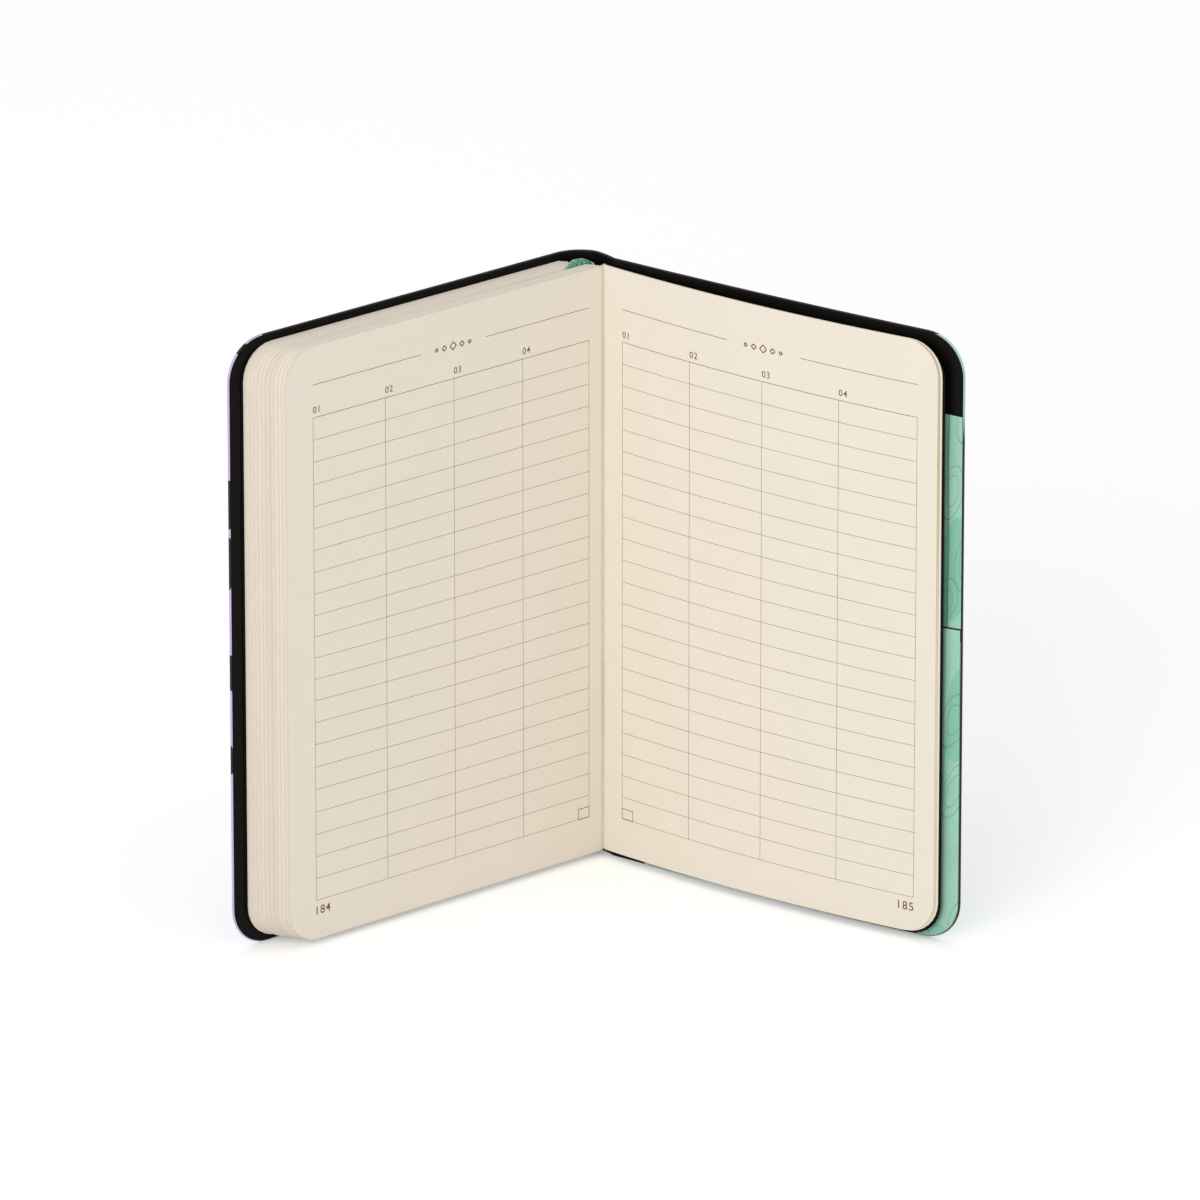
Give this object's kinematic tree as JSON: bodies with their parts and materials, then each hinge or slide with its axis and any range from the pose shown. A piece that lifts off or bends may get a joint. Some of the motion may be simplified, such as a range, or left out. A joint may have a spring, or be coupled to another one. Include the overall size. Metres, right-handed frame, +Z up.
{
  "type": "softcover notebook",
  "caption": "Softcover notebook with sewn sections, ribbon bookmark and back pocket, standing open in a V on its tail edge.",
  "frame": {"origin": "middle of the footprint, on the surface that the book stands on", "axes": "+Z up along the gutter, +X from the front cover's fore edge towards the back cover's, -Y towards the reader"},
  "size_m": [0.2032, 0.0834, 0.1785],
  "materials": {
    "cream_paper": "uncoated, matte",
    "black_paper": "matte, dyed through",
    "lilac_cover_skin": "soft satin",
    "mint_cover_skin": "soft satin",
    "grey_board": "raw",
    "mint_paper": "matte, printed",
    "green_ribbon": "woven, slight sheen",
    "sewing_thread": "twisted"
  },
  "bodies": {
    "text_block": {"back_hinge_skin": "lilac_cover_skin", "lower_stitch": "sewing_thread", "ribbon_bookmark": "green_ribbon", "section_01": "cream_paper", "section_02": "cream_paper", "section_03": "cream_paper", "section_04": "cream_paper", "section_05": "cream_paper", "section_06": "cream_paper", "section_07": "cream_paper", "section_08": "cream_paper", "section_09": "cream_paper", "section_10": "cream_paper", "section_11": "cream_paper", "spine_liner": "black_paper", "spine_lining": "black_paper", "spine_skin": "lilac_cover_skin", "upper_stitch": "sewing_thread"},
    "front_cover": {"front_cover_skin": "lilac_cover_skin", "front_cover_board": "grey_board", "front_pastedown": "black_paper"},
    "front_flyleaf": {"front_flyleaf": "black_paper"},
    "back_cover": {"back_cover_skin": "mint_cover_skin", "back_cover_board": "grey_board", "back_pastedown": "black_paper", "pocket_back_panel": "mint_paper", "pocket_fore_gusset": "mint_paper", "pocket_spine_gusset": "mint_paper"},
    "pocket_front": {"pocket_front_panel": "mint_paper"},
    "back_flyleaf": {"back_flyleaf": "black_paper"},
    "left_leaf_1": {"left_leaf_1": "cream_paper"},
    "right_leaf_1": {"right_leaf_1": "cream_paper"},
    "left_leaf_2": {"left_leaf_2": "cream_paper"},
    "right_leaf_2": {"right_leaf_2": "cream_paper"},
    "left_leaf_3": {"left_leaf_3": "cream_paper"},
    "right_leaf_3": {"right_leaf_3": "cream_paper"},
    "left_leaf_4": {"left_leaf_4": "cream_paper"},
    "right_leaf_4": {"right_leaf_4": "cream_paper"}
  },
  "joints": [
    {"name": "front_cover_hinge", "type": "hinge", "parent": "text_block", "child": "front_cover", "pos_m": [-0.01175, 0.03891, 0], "axis": [0, 0, -1], "range_deg": [0, 150]},
    {"name": "front_flyleaf_hinge", "type": "hinge", "parent": "text_block", "child": "front_flyleaf", "pos_m": [-0.01175, 0.03891, 0], "axis": [0, 0, -1], "range_deg": [0, 75.5]},
    {"name": "back_cover_hinge", "type": "hinge", "parent": "text_block", "child": "back_cover", "pos_m": [0.00183, 0.0338, 0], "axis": [0, 0, 1], "range_deg": [-96, 93], "deforming": ["back_hinge_skin"]},
    {"name": "pocket_mouth", "type": "hinge", "parent": "back_cover", "child": "pocket_front", "pos_m": [0.01384, 0.02618, 0], "axis": [0, 0, -1], "range_deg": [0, 0.9]},
    {"name": "left_page_turn", "type": "hinge", "parent": "text_block", "child": "left_leaf_1", "pos_m": [0.00183, 0.0338, 0], "axis": [0, 0, 1], "range_deg": [0, 93]},
    {"name": "left_leaf_2_turn", "type": "hinge", "parent": "text_block", "child": "left_leaf_2", "pos_m": [0.00183, 0.0338, 0], "axis": [0, 0, 1], "range_deg": [0, 70.2]},
    {"name": "left_leaf_3_turn", "type": "hinge", "parent": "text_block", "child": "left_leaf_3", "pos_m": [0.00183, 0.0338, 0], "axis": [0, 0, 1], "range_deg": [0, 47]},
    {"name": "left_leaf_4_turn", "type": "hinge", "parent": "text_block", "child": "left_leaf_4", "pos_m": [0.00183, 0.0338, 0], "axis": [0, 0, 1], "range_deg": [0, 23.8]},
    {"name": "right_page_turn", "type": "hinge", "parent": "back_cover", "child": "right_leaf_1", "pos_m": [0.00183, 0.0338, 0], "axis": [0, 0, -1], "range_deg": [0, 95]},
    {"name": "right_leaf_2_turn", "type": "hinge", "parent": "back_cover", "child": "right_leaf_2", "pos_m": [0.00183, 0.0338, 0], "axis": [0, 0, -1], "range_deg": [0, 76.5]},
    {"name": "right_leaf_3_turn", "type": "hinge", "parent": "back_cover", "child": "right_leaf_3", "pos_m": [0.00183, 0.0338, 0], "axis": [0, 0, -1], "range_deg": [0, 57.5]},
    {"name": "right_leaf_4_turn", "type": "hinge", "parent": "back_cover", "child": "right_leaf_4", "pos_m": [0.00183, 0.0338, 0], "axis": [0, 0, -1], "range_deg": [0, 38.5]},
    {"name": "back_flyleaf_turn", "type": "hinge", "parent": "back_cover", "child": "back_flyleaf", "pos_m": [0.00183, 0.0338, 0], "axis": [0, 0, -1], "range_deg": [0, 20.1]}
  ],
  "couplings": [
    {"joint": "front_flyleaf_hinge", "follows": "front_cover_hinge", "ratio": 0.5},
    {"joint": "left_leaf_2_turn", "follows": "left_page_turn", "ratio": 0.75},
    {"joint": "left_leaf_3_turn", "follows": "left_page_turn", "ratio": 0.5},
    {"joint": "left_leaf_4_turn", "follows": "left_page_turn", "ratio": 0.25},
    {"joint": "right_leaf_2_turn", "follows": "right_page_turn", "ratio": 0.8},
    {"joint": "right_leaf_3_turn", "follows": "right_page_turn", "ratio": 0.6},
    {"joint": "right_leaf_4_turn", "follows": "right_page_turn", "ratio": 0.4},
    {"joint": "back_flyleaf_turn", "follows": "right_page_turn", "ratio": 0.2}
  ]
}
